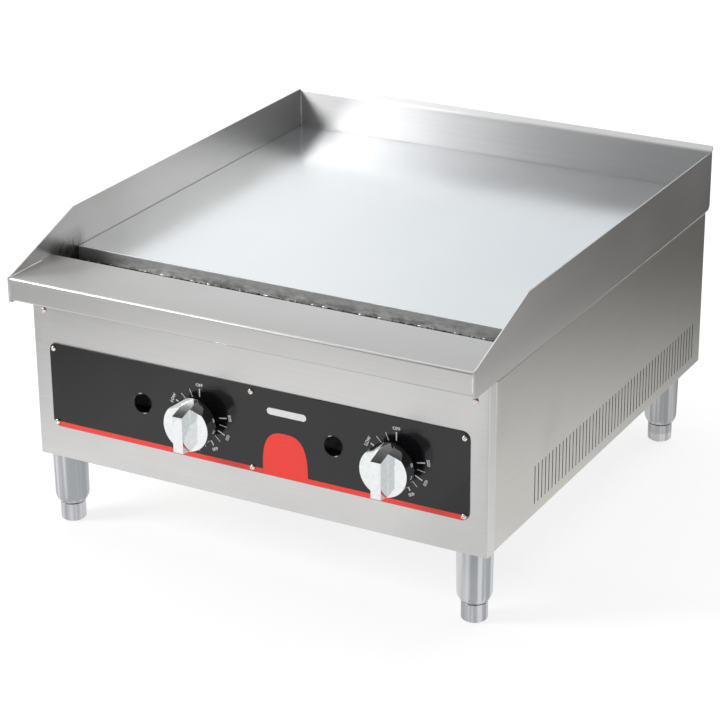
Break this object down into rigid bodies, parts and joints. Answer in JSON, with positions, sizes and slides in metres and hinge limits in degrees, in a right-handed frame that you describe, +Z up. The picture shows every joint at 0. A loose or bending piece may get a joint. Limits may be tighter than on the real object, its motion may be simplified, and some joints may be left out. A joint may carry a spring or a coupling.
{
  "type": "flat top griddle",
  "caption": "Countertop gas griddle: a flat steel plate with side and back splash guards, a front ledge over a grease gutter, a black control panel with turning knobs, and adjustable feet.",
  "frame": {"origin": "on the surface the griddle stands on, under the middle of its outer box", "axes": "+Z up, -Y towards the cook, +X to the cook's right"},
  "size_m": [0.61, 0.7056, 0.387],
  "materials": {
    "plate_steel": "ground and polished steel plate",
    "brushed_stainless": "brushed stainless sheet",
    "aluminised_steel": "dull aluminised steel",
    "black_overlay": "glossy black printed overlay with a red stripe",
    "chrome_knob": "chrome skirt with a satin silver face",
    "satin_leg": "satin plated",
    "nickel_screw": "nickel plated",
    "brass_fitting": "machined brass",
    "cast_valve": "die cast",
    "black_pipe": "black iron pipe",
    "copper_tube": "drawn copper"
  },
  "bodies": {
    "casing": {"griddle_plate": "plate_steel", "front_ledge": "brushed_stainless", "left_splash_guard": "brushed_stainless", "right_splash_guard": "brushed_stainless", "back_splash": "brushed_stainless", "plate_support_left": "aluminised_steel", "plate_support_right": "aluminised_steel", "front_panel": "brushed_stainless", "left_side_panel": "brushed_stainless", "right_side_panel": "brushed_stainless", "rear_panel": "brushed_stainless", "base_rail_front": "aluminised_steel", "base_rail_rear": "aluminised_steel", "bottom_shield": "aluminised_steel", "control_overlay": "black_overlay", "grease_chute": "brushed_stainless", "tray_rail_left": "aluminised_steel", "tray_rail_right": "aluminised_steel", "gas_manifold": "black_pipe", "gas_inlet_pipe": "black_pipe", "burner_carrier": "aluminised_steel", "burner_left": "aluminised_steel", "burner_orifice_left": "brass_fitting", "thermostat_valve_left": "cast_valve", "sensing_bulb_left": "copper_tube", "pilot_valve_left": "brass_fitting", "pilot_burner_left": "aluminised_steel", "pilot_tube_left": "copper_tube", "burner_right": "aluminised_steel", "burner_orifice_right": "brass_fitting", "thermostat_valve_right": "cast_valve", "sensing_bulb_right": "copper_tube", "pilot_valve_right": "brass_fitting", "pilot_burner_right": "aluminised_steel", "pilot_tube_right": "copper_tube", "leg_front_left": "satin_leg", "leg_front_right": "satin_leg", "leg_rear_left": "satin_leg", "leg_rear_right": "satin_leg", "panel_screw_1": "nickel_screw", "panel_screw_2": "nickel_screw", "panel_screw_3": "nickel_screw", "panel_screw_4": "nickel_screw", "panel_screw_5": "nickel_screw", "panel_screw_6": "nickel_screw", "panel_screw_7": "nickel_screw", "panel_screw_8": "nickel_screw"},
    "knob_left": {"knob_left": "chrome_knob", "valve_stem_left": "cast_valve"},
    "knob_right": {"knob_right": "chrome_knob", "valve_stem_right": "cast_valve"},
    "pilot_screw_left": {"pilot_screw_left": "nickel_screw"},
    "pilot_screw_right": {"pilot_screw_right": "nickel_screw"},
    "air_shutter_left": {"air_shutter_left": "aluminised_steel"},
    "air_shutter_right": {"air_shutter_right": "aluminised_steel"},
    "grease_tray": {"grease_tray": "brushed_stainless"},
    "foot_front_left": {"foot_front_left": "satin_leg"},
    "foot_front_right": {"foot_front_right": "satin_leg"},
    "foot_rear_left": {"foot_rear_left": "satin_leg"},
    "foot_rear_right": {"foot_rear_right": "satin_leg"}
  },
  "joints": [
    {"name": "knob_left_turn", "type": "hinge", "parent": "casing", "child": "knob_left", "pos_m": [-0.07, -0.30175, 0.188], "axis": [0, -1, 0], "range_deg": [0, 280]},
    {"name": "knob_right_turn", "type": "hinge", "parent": "casing", "child": "knob_right", "pos_m": [0.1895, -0.30175, 0.188], "axis": [0, -1, 0], "range_deg": [0, 280]},
    {"name": "pilot_screw_left_turn", "type": "hinge", "parent": "casing", "child": "pilot_screw_left", "pos_m": [-0.15, -0.26875, 0.176], "axis": [0, -1, 0], "range_deg": [0, 360]},
    {"name": "pilot_screw_right_turn", "type": "hinge", "parent": "casing", "child": "pilot_screw_right", "pos_m": [0.108, -0.26875, 0.176], "axis": [0, -1, 0], "range_deg": [0, 360]},
    {"name": "air_shutter_left_turn", "type": "hinge", "parent": "casing", "child": "air_shutter_left", "pos_m": [-0.104, -0.20275, 0.262], "axis": [0, -1, 0], "range_deg": [0, 60]},
    {"name": "air_shutter_right_turn", "type": "hinge", "parent": "casing", "child": "air_shutter_right", "pos_m": [0.2, -0.20275, 0.262], "axis": [0, -1, 0], "range_deg": [0, 60]},
    {"name": "grease_tray_slide", "type": "slide", "parent": "casing", "child": "grease_tray", "axis": [0, -1, 0], "range_m": [0, 0.26]},
    {"name": "foot_front_left_adjust", "type": "slide", "parent": "casing", "child": "foot_front_left", "axis": [0, 0, -1], "range_m": [0, 0.025]},
    {"name": "foot_front_right_adjust", "type": "slide", "parent": "casing", "child": "foot_front_right", "axis": [0, 0, -1], "range_m": [0, 0.025]},
    {"name": "foot_rear_left_adjust", "type": "slide", "parent": "casing", "child": "foot_rear_left", "axis": [0, 0, -1], "range_m": [0, 0.025]},
    {"name": "foot_rear_right_adjust", "type": "slide", "parent": "casing", "child": "foot_rear_right", "axis": [0, 0, -1], "range_m": [0, 0.025]}
  ]
}
